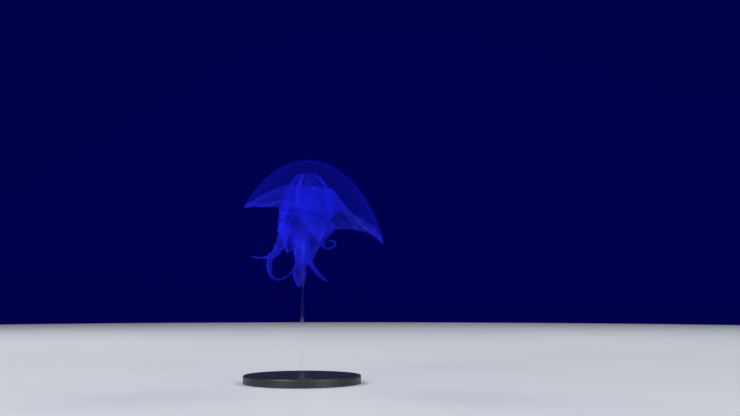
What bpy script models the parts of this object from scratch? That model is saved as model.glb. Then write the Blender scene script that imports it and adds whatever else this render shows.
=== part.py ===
"""A moon jelly as a still, life-size display model on a plain stand.

Metres, +Z up.  The origin is the centre of the stand base's underside.  The animal is
modelled in a frame of its own, an empty at the top of the bell: +X is its long side,
+Y points away from the side it is shown from, and depth is measured down from the apex.
"""
import math

import bmesh
import bpy
import numpy as np
from mathutils import Matrix, Vector

# ---- Driving dimensions ---------------------------------------------------------------
MM = 0.001
GAP = 0.3 * MM                      # air between pieces that touch

APEX = Vector((3.9, -1.0, 190.4)) * MM

# Bell: an outer dome of revolution, cut off along a slanted, scalloped rim.
DOME_RADIUS = 65.9 * MM
DOME_HEIGHT = 75.6 * MM
DOME_POWER = 1.45                   # 2 would be an ellipse, 1 a parabola
# The rim hangs in four points with an arch between each two: (degrees, depth in mm),
# a hanging point and an arch in turn, counted from the long side.
RIM_TURNS = ((-8, 72.8), (58, 55.8), (86, 65.0), (112, 36.4),
             (182, 40.9), (262, 43.9), (291, 51.2), (303, 49.2))
RIM_POINTEDNESS = 1.35              # 1 is a straight-sided point, 2 a round one
LOBES = 8                           # rim lobes, one notch between each two
LOBE_RADIUS = 44.0 * MM             # least distance of a lobe from the axis
NOTCH_RISE = 1.8 * MM
NOTCH_WIDTH = math.radians(4.5)
RIM_THICKNESS = 1.2 * MM
MARGIN_SHARE = 0.87                 # share of the depth where the rim lobes begin
MARGIN_INNER = 0.78                 # the same place on the inner wall
PART_LINE = GAP / 2.0 / (min(depth for _, depth in RIM_TURNS) * MM)

# Inner wall: a chimney over the stomach, then a cone down to the rim.
SHOULDER_RADIUS = 22.7 * MM
SHOULDER_DEPTH = 27.0 * MM          # on the long side,
SHOULDER_RISE = 3.0 * MM            # and how much higher it is on the short side
CHIMNEY_END = 22.0 * MM
WALL_SAG = 2.0 * MM                 # how far the cone's wall bellies down,
WALL_SAG_SLANT = 3.0 * MM           # and how much more it does on the long side

# Stomach: half an egg with four recesses, one for each gonad.
STOMACH_RADIUS = 21.0 * MM
STOMACH_WAIST = 38.0 * MM           # depth of its widest ring
STOMACH_TOP = 10.7 * MM
STOMACH_END = 46.6 * MM
RECESS = 3.9 * MM                   # depth of a recess,
RECESS_MOST = 0.45                  # but at most this share of the radius,
RECESS_FLATNESS = 0.4               # and how broad its floor is, 1 for a plain wave
GONADS = 4
GONAD_TURN = math.radians(-7.0)     # the first gonad faces the long side
GONAD_TUBE = 1.1 * MM
GONAD_TOP = 16.0 * MM
GONAD_END = 44.2 * MM
GONAD_SPREAD = math.radians(16.0)   # half the angle between its two legs
GONAD_STEPS = 9                     # points along each leg
GONAD_BEND = 2.2                    # how soon the legs leave the bend
GONAD_CURVE = 1.6                   # how the points crowd towards the bend

# Mouth stalk: round under the stomach, four-cornered where the oral arms leave it.
ARMS = 4
ARM_TURN = GONAD_TURN + math.pi / GONADS
STALK_TOP_RADIUS = 19.4 * MM
STALK_RADIUS = 16.0 * MM
STALK_CORNERS = 0.27                # how far its corners stand out
STALK_END = 52.6 * MM
FLARE = 4.6 * MM                    # how far the roots of two of the arms spread,
FLARE_TURNS = (12.0, 197.0)         # where they do, in degrees,
FLARE_WIDTH = math.radians(38.0)    # and how broadly

# Stand.
BASE_RADIUS = 50.0 * MM
BASE_HEIGHT = 7.0 * MM
BASE_EDGE = 1.0 * MM
ROD_RADIUS = 1.5 * MM
SOCKET_DEPTH = 5.0 * MM

# Mesh fineness.
AROUND = 64                         # facets round the bell
DOME_ROWS = 10
CONE_ROWS = 5
CHIMNEY_ROWS = 5
LOBE_ROWS = 3
STOMACH_AROUND = 40
ROD_AROUND = 24
STOMACH_ROWS = 11
STALK_ROWS = 3
RIBBON_STEP = 2.1 * MM              # spacing of the rings along an oral arm
RIBBON_ACROSS = (-1.0, -0.5, 0.0, 0.5, 1.0)


# ---- Materials ------------------------------------------------------------------------
def make_material(name, colour, roughness, alpha=1.0):
    material = bpy.data.materials.new(name)
    material.use_nodes = True
    shader = material.node_tree.nodes["Principled BSDF"]
    shader.inputs["Base Color"].default_value = (*colour, 1.0)
    shader.inputs["Roughness"].default_value = roughness
    shader.inputs["Alpha"].default_value = alpha
    return material


# ---- Common helpers -------------------------------------------------------------------
def clear_scene():
    for item in list(bpy.data.objects):
        bpy.data.objects.remove(item, do_unlink=True)


def add_object(name, mesh_builder, material, parent=None, smooth_angle=40.0):
    """Turns a filled bmesh into a named object with its faces pointing out."""
    bmesh.ops.recalc_face_normals(mesh_builder, faces=mesh_builder.faces)
    mesh = bpy.data.meshes.new(name)
    mesh_builder.to_mesh(mesh)
    mesh_builder.free()
    mesh.materials.append(material)
    mesh.shade_smooth()
    mesh.set_sharp_from_angle(angle=math.radians(smooth_angle))
    item = bpy.data.objects.new(name, mesh)
    bpy.context.collection.objects.link(item)
    item.parent = parent
    return item


def bridge(builder, lower, upper, closed):
    """Quads between two rows of vertices; a row of one vertex is a pole."""
    count = max(len(lower), len(upper))
    for i in range(count if closed else count - 1):
        j = (i + 1) % count
        corners = [lower[i % len(lower)], lower[j % len(lower)],
                   upper[j % len(upper)], upper[i % len(upper)]]
        unique = list(dict.fromkeys(corners))
        builder.faces.new(unique)


def polar(angle, radius, depth):
    return Vector((radius * math.cos(angle), radius * math.sin(angle), -depth))


# ---- Bell -----------------------------------------------------------------------------
def dome_radius(depth):
    """Outer radius of the bell at a depth below its apex."""
    return DOME_RADIUS * math.sqrt(1.0 - (1.0 - depth / DOME_HEIGHT) ** DOME_POWER)


def rim_depth(angle):
    """Depth of the bell's edge: points and arches in turn, with a notch between lobes."""
    degrees = (math.degrees(angle) - RIM_TURNS[0][0]) % 360.0 + RIM_TURNS[0][0]
    turns = RIM_TURNS + ((RIM_TURNS[0][0] + 360.0, RIM_TURNS[0][1]),)
    for index, ((start, depth), (end, next_depth)) in enumerate(zip(turns, turns[1:])):
        if degrees <= end:
            break
    share = (degrees - start) / (end - start)
    if index % 2 == 0:              # from a hanging point to an arch
        depth, next_depth, share = next_depth, depth, 1.0 - share
    curve = depth * MM + (next_depth - depth) * MM * share ** RIM_POINTEDNESS
    pitch = 2.0 * math.pi / LOBES
    from_notch = (angle % pitch) - pitch / 2.0
    return curve - NOTCH_RISE * math.exp(-((from_notch / NOTCH_WIDTH) ** 2))


def outer_point(angle, share):
    """Point of the outer surface; share is 0 at the apex and 1 at the rim."""
    depth = rim_depth(angle) * share
    return polar(angle, dome_radius(depth), depth)


def inner_point(angle, share):
    """Point of the cone-shaped inner wall; share is 0 at the shoulder, 1 at the rim."""
    rim = rim_depth(angle)
    rim_radius = dome_radius(rim) - RIM_THICKNESS
    shoulder = SHOULDER_DEPTH - SHOULDER_RISE * (0.5 - 0.5 * math.cos(angle))
    drop = rim - RIM_THICKNESS / 3.0 - shoulder
    radius = SHOULDER_RADIUS + (rim_radius - SHOULDER_RADIUS) * share
    sag = (WALL_SAG + WALL_SAG_SLANT * math.cos(angle)) * math.sin(math.pi * share)
    return polar(angle, radius, shoulder + drop * share + sag)


def stomach_radius(depth):
    """Radius of the egg that the chimney fits over."""
    half_height = STOMACH_WAIST - STOMACH_TOP
    height = (STOMACH_WAIST - depth) / half_height
    return STOMACH_RADIUS * math.sqrt(max(0.0, 1.0 - height ** 2))


def row(builder, angles, place):
    return [builder.verts.new(place(angle)) for angle in angles]


def build_bell(material, frame):
    """The thick clear dome down to the line where the rim lobes begin."""
    builder = bmesh.new()
    angles = [2.0 * math.pi * i / AROUND for i in range(AROUND)]
    rows = [[builder.verts.new((0.0, 0.0, 0.0))]]
    for step in range(1, DOME_ROWS + 1):
        share = (MARGIN_SHARE - PART_LINE) * (step / DOME_ROWS) ** 2
        rows.append(row(builder, angles, lambda a, s=share: outer_point(a, s)))
    for step in range(CONE_ROWS, -1, -1):
        share = (MARGIN_INNER - PART_LINE) * step / CONE_ROWS
        rows.append(row(builder, angles, lambda a, s=share: inner_point(a, s)))
    for step in range(CHIMNEY_ROWS, 0, -1):
        lift = math.sin(0.5 * math.pi * (1.0 - step / CHIMNEY_ROWS))
        depth = CHIMNEY_END - (CHIMNEY_END - STOMACH_TOP) * lift
        rows.append(row(builder, angles, lambda a, d=depth: polar(a, stomach_radius(d) + GAP, d)))
    rows.append([builder.verts.new((0.0, 0.0, -STOMACH_TOP + GAP))])
    for lower, upper in zip(rows, rows[1:]):
        bridge(builder, lower, upper, closed=True)
    return add_object("bell_dome", builder, material, frame)


def build_rim_lobe(number, material, frame):
    """One of the eight lobes of the bell's thin edge, a wedge in section."""
    builder = bmesh.new()
    pitch = 2.0 * math.pi / LOBES
    half = pitch / 2.0 - GAP / 2.0 / LOBE_RADIUS
    middle = pitch * number
    per_lobe = AROUND // LOBES
    angles = [middle - half + 2.0 * half * i / per_lobe for i in range(per_lobe + 1)]
    outer = MARGIN_SHARE + PART_LINE
    inner = MARGIN_INNER + PART_LINE
    rows = []
    for step in range(LOBE_ROWS + 1):
        share = outer + (1.0 - outer) * step / LOBE_ROWS
        rows.append(row(builder, angles, lambda a, s=share: outer_point(a, s)))
    for step in range(LOBE_ROWS, -1, -1):
        share = inner + (1.0 - inner) * step / LOBE_ROWS
        rows.append(row(builder, angles, lambda a, s=share: inner_point(a, s)))
    for lower, upper in zip(rows, rows[1:] + rows[:1]):
        bridge(builder, lower, upper, closed=False)
    for end in (0, -1):
        outer_side = [line[end] for line in rows[:LOBE_ROWS + 1]]
        inner_side = [line[end] for line in rows[LOBE_ROWS + 1:]][::-1]
        for a, b, c, d in zip(outer_side, outer_side[1:], inner_side[1:], inner_side):
            builder.faces.new((a, b, c, d))
    return add_object(f"bell_lobe_{number + 1}", builder, material, frame)


# ---- Stomach and gonads ---------------------------------------------------------------
def build_stomach(material, frame):
    """The egg under the chimney, with a recess on each side that holds a gonad."""
    builder = bmesh.new()
    angles = [2.0 * math.pi * i / STOMACH_AROUND for i in range(STOMACH_AROUND)]

    def side(angle, depth):
        fold = (0.5 + 0.5 * math.cos(GONADS * (angle - GONAD_TURN))) ** RECESS_FLATNESS
        full = stomach_radius(depth) - GAP
        return polar(angle, full - min(RECESS * fold, RECESS_MOST * full), depth)

    rows = [[builder.verts.new((0.0, 0.0, -STOMACH_TOP - GAP))]]
    for step in range(1, STOMACH_ROWS + 1):
        lift = math.sin(0.5 * math.pi * step / STOMACH_ROWS) ** 2
        depth = STOMACH_TOP + (STOMACH_END - STOMACH_TOP) * lift
        rows.append(row(builder, angles, lambda a, d=depth: side(a, d)))
    rows.append([builder.verts.new((0.0, 0.0, -STOMACH_END))])
    for lower, upper in zip(rows, rows[1:]):
        bridge(builder, lower, upper, closed=True)
    return add_object("stomach", builder, material, frame)


def build_gonad(number, material, frame):
    """A horseshoe tube in its recess, its bend at the bottom and its ends at the top."""
    middle = GONAD_TURN + number * 2.0 * math.pi / GONADS
    points = []
    for step in range(-GONAD_STEPS, GONAD_STEPS + 1):
        share = abs(step) / GONAD_STEPS
        depth = GONAD_END - (GONAD_END - GONAD_TOP) * share ** GONAD_CURVE
        opening = math.sin(0.5 * math.pi * min(1.0, GONAD_BEND * share))
        turn = GONAD_SPREAD * math.copysign(opening, step)
        radius = stomach_radius(depth) - GONAD_TUBE - 2.0 * GAP
        points.append(polar(middle + turn, radius, depth))
    curve = bpy.data.curves.new(f"gonad_{number + 1}", "CURVE")
    curve.dimensions = "3D"
    curve.bevel_depth = GONAD_TUBE
    curve.bevel_resolution = 1
    curve.use_fill_caps = True
    spline = curve.splines.new("POLY")
    spline.points.add(len(points) - 1)
    for control, point in zip(spline.points, points):
        control.co = (*point, 1.0)
    curve.materials.append(material)
    item = bpy.data.objects.new(curve.name, curve)
    bpy.context.collection.objects.link(item)
    item.parent = frame
    return item


# ---- Mouth stalk ----------------------------------------------------------------------
def build_stalk(material, frame):
    builder = bmesh.new()
    angles = [2.0 * math.pi * i / STOMACH_AROUND for i in range(STOMACH_AROUND)]

    def side(angle, share):
        ease = math.sin(0.5 * math.pi * share)
        radius = STALK_TOP_RADIUS + (STALK_RADIUS - STALK_TOP_RADIUS) * ease
        corner = STALK_CORNERS * ease * math.cos(ARMS * (angle - ARM_TURN))
        radius *= 1.0 + corner
        for turn in FLARE_TURNS:
            off_flare = (angle - math.radians(turn) + math.pi) % (2.0 * math.pi) - math.pi
            radius += FLARE * math.exp(-((off_flare / FLARE_WIDTH) ** 2))
        return polar(angle, radius, STOMACH_END + GAP + (STALK_END - STOMACH_END - GAP) * share)

    rows = [[builder.verts.new((0.0, 0.0, -STOMACH_END - GAP))]]
    for step in range(STALK_ROWS + 1):
        rows.append(row(builder, angles, lambda a, s=step / STALK_ROWS: side(a, s)))
    rows.append([builder.verts.new((0.0, 0.0, -STALK_END))])
    for lower, upper in zip(rows, rows[1:]):
        bridge(builder, lower, upper, closed=True)
    return add_object("mouth_stalk", builder, material, frame)


# ---- Oral arms ------------------------------------------------------------------------
# Each arm is a soft ribbon along a smooth curve.  Its stations are, in millimetres,
# x, y, depth, half width and thickness.
LEFT_ARM = (
    (-20.4, -10.4, 53.0, 6.4, 2.0),
    (-20.6, -10.8, 57.5, 6.2, 2.0),
    (-20.8, -10.8, 64.6, 5.6, 2.0),
    (-22.8, -9.8, 72.0, 5.0, 2.2),
    (-27.2, -7.8, 79.4, 3.8, 2.6),
    (-31.6, -6.0, 84.6, 3.0, 3.2),
    (-32.6, -5.2, 91.2, 2.6, 3.4),
    (-31.6, -4.6, 97.4, 2.2, 3.0),
    (-28.6, -4.0, 101.8, 1.6, 2.2),
    (-23.6, -3.6, 103.2, 1.3, 1.8),
    (-17.6, -3.2, 101.0, 1.2, 1.6),
    (-12.6, -3.0, 96.4, 1.1, 1.5),
    (-10.2, -3.0, 91.0, 0.9, 1.3),
)
LEFT_SPIKE = (
    (-34.9, -5.6, 84.2, 2.0, 2.4),
    (-40.4, -5.2, 84.4, 1.5, 1.8),
    (-47.2, -5.0, 83.6, 0.6, 0.8),
)
LEFT_STRAND = (
    (-19.2, -6.2, 70.2, 1.6, 1.5),
    (-18.4, -6.0, 75.0, 1.7, 1.4),
    (-16.4, -6.0, 80.4, 0.6, 0.8),
)
FRONT_ARM = (
    (2.8, -14.0, 53.0, 15.2, 2.2),
    (2.0, -14.2, 60.0, 14.4, 2.0),
    (1.0, -13.4, 65.2, 13.0, 2.0),
    (0.0, -12.2, 71.2, 12.2, 2.0),
    (-1.8, -10.8, 78.2, 10.4, 2.0),
    (-2.8, -9.6, 84.4, 8.4, 2.0),
    (-5.2, -8.8, 91.4, 5.0, 2.2),
    (-6.0, -8.2, 98.2, 5.6, 1.8),
    (-6.2, -7.8, 104.2, 4.2, 1.6),
    (-6.8, -7.4, 109.0, 0.8, 1.2),
)
RIGHT_ARM = (
    (16.2, 10.0, 53.0, 7.2, 2.2),
    (15.4, 10.4, 59.0, 6.4, 2.2),
    (13.2, 10.0, 65.4, 4.4, 2.2),
    (11.8, 9.4, 70.8, 2.6, 2.0),
    (13.6, 8.8, 74.8, 1.9, 1.9),
    (17.4, 8.4, 76.2, 1.7, 1.8),
    (21.6, 8.0, 75.0, 1.5, 1.7),
    (23.8, 7.8, 71.8, 1.2, 1.5),
    (21.4, 7.8, 69.2, 1.0, 1.3),
    (17.4, 7.8, 69.6, 0.8, 1.0),
)
BACK_ARM = (
    (-11.2, 14.5, 53.0, 8.2, 2.2),
    (-10.0, 14.4, 62.0, 8.2, 2.0),
    (-7.4, 12.8, 72.0, 7.8, 2.0),
    (-3.6, 11.0, 80.0, 6.2, 2.0),
    (0.6, 10.0, 87.0, 3.4, 2.0),
    (5.6, 8.8, 94.4, 1.8, 2.0),
    (11.2, 8.0, 100.4, 1.7, 1.8),
    (16.6, 7.4, 104.8, 0.6, 0.8),
)
THINNEST = 0.5                      # least half width and thickness, millimetres
CURVE_STEP = 0.05                   # fineness of a smooth curve between two stations
RUFFLE_LENGTH = 8.4 * MM            # one wave of the frilled edges
RUFFLE_LAG = 1.3                    # how far one edge's wave trails the other's
EDGE_THINNING = 0.45                # share of the thickness that an edge lacks


def trace(stations):
    """Evenly spaced stations along the smooth curve through the given ones, in metres."""
    knots = np.array(stations)
    padded = np.vstack([2 * knots[0] - knots[1], knots, 2 * knots[-1] - knots[-2]])
    dense = []
    for before, start, end, after in zip(padded, padded[1:], padded[2:], padded[3:]):
        for t in np.arange(0.0, 1.0, CURVE_STEP):
            dense.append(0.5 * (2.0 * start + (end - before) * t
                                + (2.0 * before - 5.0 * start + 4.0 * end - after) * t ** 2
                                + (3.0 * start - before - 3.0 * end + after) * t ** 3))
    dense.append(knots[-1])
    dense = np.array(dense)
    dense[:, 3:] = np.maximum(dense[:, 3:], THINNEST)
    strides = np.linalg.norm(np.diff(dense[:, :3], axis=0), axis=1)
    travelled = np.concatenate([[0.0], np.cumsum(strides)])
    count = max(4, round(travelled[-1] * MM / RIBBON_STEP))
    even = np.linspace(0.0, travelled[-1], count + 1)
    table = np.column_stack([np.interp(even, travelled, dense[:, i]) for i in range(5)]) * MM
    table[:, 2] *= -1.0
    return table


def build_ribbon(name, table, first, last, width_way, trough, ruffle, material, frame):
    """One length of an arm, from ring first to ring last of its table."""
    builder = bmesh.new()
    step = np.linalg.norm(table[1, :3] - table[0, :3])
    rings = []
    for i in range(first, last + 1):
        ahead = Vector(table[min(i + 1, len(table) - 1), :3])
        behind = Vector(table[max(i - 1, 0), :3])
        tangent = (ahead - behind).normalized()
        if i == 0 and name.endswith("_upper"):
            tangent = Vector((0.0, 0.0, -1.0))
        centre = Vector(table[i, :3])
        if i == first and first > 0:
            centre += tangent * GAP
        half_width, thickness = table[i, 3:]
        across = (width_way - width_way.dot(tangent) * tangent).normalized()
        normal = tangent.cross(across)
        wave = 2.0 * math.pi * i * step / RUFFLE_LENGTH

        def place(share, side):
            lag = RUFFLE_LAG if share > 0.0 else 0.0
            lift = trough * half_width * share ** 2
            lift += ruffle * half_width * abs(share) ** 3 * math.sin(wave + lag)
            lift += side * 0.5 * thickness * (1.0 - EDGE_THINNING * share ** 2)
            return centre + across * half_width * share + normal * lift

        front = [builder.verts.new(place(share, 1.0)) for share in RIBBON_ACROSS]
        back = [builder.verts.new(place(share, -1.0)) for share in reversed(RIBBON_ACROSS)]
        rings.append(front + back)
    for lower, upper in zip(rings, rings[1:]):
        bridge(builder, lower, upper, closed=True)
    for ring in (rings[0], rings[-1]):
        half = len(ring) // 2
        for i in range(half - 1):
            builder.faces.new((ring[i], ring[i + 1], ring[-2 - i], ring[-1 - i]))
    return add_object(name, builder, material, frame)


def build_arm(name, stations, lengths, width_way, trough, ruffle, material, frame):
    """An arm as consecutive lengths; lengths maps a name to the share where it ends."""
    table = trace(stations)
    first = 0
    for part, end in lengths:
        last = round(end * (len(table) - 1))
        build_ribbon(f"{name}_{part}", table, first, last, Vector(width_way).normalized(),
                     trough, ruffle, material, frame)
        first = last


def build_oral_arms(material, frame):
    build_arm("oral_arm_left", LEFT_ARM,
              (("upper", 0.2), ("middle", 0.38), ("lower", 0.66), ("tip", 1.0)),
              (0.85, -0.5, 0.0), -0.25, 0.22, material, frame)
    build_arm("oral_arm_left", LEFT_SPIKE, (("spike", 1.0),),
              (0.0, -1.0, 0.0), 0.0, 0.0, material, frame)
    build_arm("oral_arm_left", LEFT_STRAND, (("strand", 1.0),),
              (1.0, -0.3, 0.0), 0.0, 0.0, material, frame)
    build_arm("oral_arm_front", FRONT_ARM, (("upper", 0.38), ("middle", 0.70), ("tip", 1.0)),
              (1.0, 0.0, 0.0), -0.28, 0.16, material, frame)
    build_arm("oral_arm_right", RIGHT_ARM, (("upper", 0.36), ("tip", 1.0)),
              (0.7, 0.7, 0.0), 0.2, 0.18, material, frame)
    build_arm("oral_arm_back", BACK_ARM, (("upper", 0.5), ("tip", 1.0)),
              (0.85, 0.5, 0.0), 0.25, 0.2, material, frame)


# ---- Stand ----------------------------------------------------------------------------
def build_stand(base_material, rod_material):
    builder = bmesh.new()
    bmesh.ops.create_cone(builder, cap_ends=True, segments=AROUND, radius1=BASE_RADIUS,
                          radius2=BASE_RADIUS, depth=BASE_HEIGHT,
                          matrix=Matrix.Translation((0.0, 0.0, BASE_HEIGHT / 2.0)))
    top_edges = [edge for edge in builder.edges
                 if all(vert.co.z > BASE_HEIGHT / 2.0 for vert in edge.verts)]
    bmesh.ops.bevel(builder, geom=top_edges, offset=BASE_EDGE, segments=2, profile=0.5,
                    affect="EDGES")
    base = add_object("stand_base", builder, base_material)

    cutter_builder = bmesh.new()
    bmesh.ops.create_cone(cutter_builder, cap_ends=True, segments=ROD_AROUND,
                          radius1=ROD_RADIUS + GAP, radius2=ROD_RADIUS + GAP,
                          depth=2.0 * SOCKET_DEPTH,
                          matrix=Matrix.Translation((0.0, 0.0, BASE_HEIGHT)))
    cutter = add_object("rod_socket_cutter", cutter_builder, base_material)
    cutter.hide_render = True
    cutter.display_type = "WIRE"
    socket = base.modifiers.new("rod socket", "BOOLEAN")
    socket.operation = "DIFFERENCE"
    socket.object = cutter

    bottom = BASE_HEIGHT - SOCKET_DEPTH + GAP
    top = APEX.z - STALK_END - GAP
    builder = bmesh.new()
    bmesh.ops.create_cone(builder, cap_ends=True, segments=ROD_AROUND, radius1=ROD_RADIUS,
                          radius2=ROD_RADIUS, depth=top - bottom,
                          matrix=Matrix.Translation((0.0, 0.0, (top + bottom) / 2.0)))
    add_object("stand_rod", builder, rod_material)


# ---- Assembly -------------------------------------------------------------------------
def main():
    clear_scene()
    bell_jelly = make_material("clear bell jelly", (0.03, 0.06, 0.62), 0.18, alpha=0.35)
    stomach_tissue = make_material("stomach tissue", (0.05, 0.08, 0.72), 0.35, alpha=0.6)
    gonad_tissue = make_material("gonad tissue", (0.12, 0.16, 0.85), 0.4)
    arm_tissue = make_material("oral arm tissue", (0.10, 0.13, 0.80), 0.35, alpha=0.8)
    base_paint = make_material("black stand paint", (0.02, 0.02, 0.025), 0.35)
    rod_acrylic = make_material("clear rod acrylic", (0.9, 0.95, 1.0), 0.05, alpha=0.4)

    frame = bpy.data.objects.new("jelly_frame", None)
    bpy.context.collection.objects.link(frame)
    frame.location = APEX

    build_bell(bell_jelly, frame)
    for number in range(LOBES):
        build_rim_lobe(number, bell_jelly, frame)
    build_stomach(stomach_tissue, frame)
    for number in range(GONADS):
        build_gonad(number, gonad_tissue, frame)
    build_stalk(arm_tissue, frame)
    build_oral_arms(arm_tissue, frame)
    build_stand(base_paint, rod_acrylic)


main()
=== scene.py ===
import math

import bpy
import numpy as np
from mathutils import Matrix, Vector


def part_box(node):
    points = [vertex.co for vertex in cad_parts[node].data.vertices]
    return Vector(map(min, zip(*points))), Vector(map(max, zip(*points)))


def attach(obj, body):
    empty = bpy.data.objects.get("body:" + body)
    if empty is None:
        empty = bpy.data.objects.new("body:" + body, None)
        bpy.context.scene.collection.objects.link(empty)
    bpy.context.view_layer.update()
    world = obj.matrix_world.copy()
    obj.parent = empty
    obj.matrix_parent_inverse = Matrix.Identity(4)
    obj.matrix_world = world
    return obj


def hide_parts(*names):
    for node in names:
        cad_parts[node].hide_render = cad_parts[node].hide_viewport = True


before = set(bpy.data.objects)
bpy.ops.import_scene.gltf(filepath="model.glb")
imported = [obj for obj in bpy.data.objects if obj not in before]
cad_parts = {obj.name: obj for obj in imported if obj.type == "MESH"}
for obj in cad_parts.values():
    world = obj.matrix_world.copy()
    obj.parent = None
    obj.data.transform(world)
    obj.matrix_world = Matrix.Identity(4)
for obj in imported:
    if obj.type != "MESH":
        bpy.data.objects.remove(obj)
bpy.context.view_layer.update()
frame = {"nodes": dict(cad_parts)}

MM = 0.001
RANDOM = np.random.default_rng(7)

# ---- Places from the frame ------------------------------------------------------------
STALK_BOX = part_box("mouth_stalk")
APEX = np.array([0.5 * (STALK_BOX[0][0] + STALK_BOX[1][0]),
                 0.5 * (STALK_BOX[0][1] + STALK_BOX[1][1]),
                 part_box("bell_dome")[1][2]])
MOUTH_DEPTH = APEX[2] - STALK_BOX[0][2]         # underside of the closed mouth
STALK_TOP = APEX[2] - STALK_BOX[1][2]
STOMACH_TOP = APEX[2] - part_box("stomach")[1][2]

# ---- Sizes, as in the solids ----------------------------------------------------------
DOME_RADIUS = 65.9 * MM
DOME_HEIGHT = 75.6 * MM
DOME_POWER = 1.45
RIM_TURNS = (                       # points and arches of the edge by turns: the angle in
    (-8, 72.8), (58, 55.8), (86, 65.0), (112, 36.4),        # degrees and the depth in mm
    (182, 40.9), (262, 43.9), (291, 51.2), (303, 49.2),
)
RIM_POINTEDNESS = 1.35
LOBES = 8
NOTCH_RISE = 1.8 * MM
NOTCH_WIDTH = math.radians(4.5)
RIM_THICKNESS = 1.2 * MM
SHOULDER_RADIUS = 22.7 * MM
SHOULDER_DEPTH = 27.0 * MM          # on the long side,
SHOULDER_RISE = 3.0 * MM            # and how much higher it is on the short side
WALL_SAG = 2.0 * MM                 # how far the inner wall hangs below a straight line,
WALL_SAG_SLANT = 3.0 * MM           # and how much more on the long side
STOMACH_RADIUS = 21.0 * MM
STOMACH_WAIST = 38.0 * MM
GONADS = 4
GONAD_TURN = math.radians(-7.0)
GONAD_TUBE = 0.9 * MM
GONAD_BREADTH = 2.7 * MM            # half the width of its folded band
GONAD_TOP = 13.0 * MM
GONAD_END = 44.2 * MM
GONAD_SPREAD = math.radians(16.0)   # half the opening of each horseshoe
GONAD_BEND = 2.2
GONAD_CURVE = 1.6
ARMS = 4
ARM_TURN = GONAD_TURN + math.pi / GONADS
STALK_TOP_RADIUS = 19.4 * MM
STALK_RADIUS = 16.0 * MM
STALK_CORNERS = 0.27
FLARE = 4.6 * MM                    # how far the roots of two of the arms spread,
FLARE_TURNS = (12.0, 197.0)         # where they do, in degrees,
FLARE_WIDTH = math.radians(38.0)    # how broadly,
FLARE_START = 33.0 * MM             # from what depth,
FLARE_GROWTH = 11.0 * MM            # and over what length they reach it

# Each arm's or streamer's smooth curve: x, y, depth, half width and thickness, in
# millimetres.
LEFT_ARM = (
    (-19.4, -10.0, 46.5, 6.8, 2.0), (-20.4, -10.4, 53.0, 6.4, 2.0), (-20.6, -10.8, 57.5, 6.2, 2.0),
    (-20.8, -10.8, 64.6, 5.6, 2.0), (-22.8, -9.8, 72.0, 5.0, 2.2),
    (-27.2, -7.8, 79.4, 3.8, 2.6), (-31.6, -6.0, 84.6, 3.0, 3.2),
    (-32.6, -5.2, 91.2, 2.6, 3.4), (-31.6, -4.6, 97.4, 2.2, 3.0),
    (-28.6, -4.0, 101.8, 1.6, 2.2), (-23.6, -3.6, 103.2, 1.3, 1.8),
    (-17.6, -3.2, 101.0, 1.2, 1.6), (-12.6, -3.0, 96.4, 1.1, 1.5),
    (-10.2, -3.0, 91.0, 0.9, 1.3),
)
FRONT_ARM = (
    (3.4, -14.2, 46.5, 15.4, 2.2),
    (2.8, -14.0, 53.0, 15.2, 2.2), (2.0, -14.2, 60.0, 14.4, 2.0),
    (1.0, -13.4, 65.2, 13.0, 2.0), (0.0, -12.2, 71.2, 12.2, 2.0),
    (-1.8, -10.8, 78.2, 10.4, 2.0), (-2.8, -9.6, 84.4, 8.4, 2.0),
    (-5.2, -8.8, 91.4, 5.0, 2.2), (-6.0, -8.2, 98.2, 5.6, 1.8),
    (-6.2, -7.8, 104.2, 4.2, 1.6), (-6.8, -7.4, 109.0, 0.8, 1.2),
)
RIGHT_ARM = (
    (16.0, 9.8, 46.5, 7.4, 2.2), (16.2, 10.0, 53.0, 7.2, 2.2), (15.4, 10.4, 59.0, 6.4, 2.2),
    (13.2, 10.0, 65.4, 4.4, 2.2), (11.8, 9.4, 70.8, 2.6, 2.0),
    (13.6, 8.8, 74.8, 1.9, 1.9), (17.4, 8.4, 76.2, 1.7, 1.8),
    (21.6, 8.0, 75.0, 1.5, 1.7), (23.8, 7.8, 71.8, 1.2, 1.5),
    (21.4, 7.8, 69.2, 1.0, 1.3), (17.4, 7.8, 69.6, 0.8, 1.0),
)
BACK_ARM = (
    (-12.0, 14.2, 46.5, 7.6, 2.2), (-11.2, 14.5, 53.0, 8.2, 2.2), (-10.0, 14.4, 62.0, 8.2, 2.0),
    (-7.4, 12.8, 72.0, 7.8, 2.0), (-3.6, 11.0, 80.0, 6.2, 2.0), (0.6, 10.0, 87.0, 3.4, 2.0),
    (5.6, 8.8, 94.4, 1.8, 2.0), (11.2, 8.0, 100.4, 1.7, 1.8),
    (16.6, 7.4, 104.8, 0.6, 0.8),
)
LEFT_SPIKE = (
    (-32.6, -5.6, 84.2, 2.0, 2.4), (-36.0, -5.6, 84.2, 2.0, 2.2),
    (-40.4, -5.2, 84.4, 1.5, 1.7), (-47.2, -5.0, 83.6, 0.4, 0.6),
)
LEFT_STRAND = (
    (-20.4, -7.4, 66.4, 1.5, 1.5), (-19.2, -6.2, 70.2, 1.6, 1.5),
    (-18.4, -6.0, 75.0, 1.7, 1.4), (-16.4, -6.0, 80.4, 0.6, 0.8),
)
LEFT_WEB = (
    (-14.6, -13.2, 49.0, 2.4, 0.6), (-14.8, -12.6, 56.0, 4.0, 0.6),
    (-15.2, -11.6, 64.0, 4.8, 0.6), (-14.8, -10.2, 71.0, 4.6, 0.5),
    (-15.0, -9.0, 76.5, 3.6, 0.5), (-15.6, -8.2, 80.6, 0.8, 0.4),
)

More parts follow.
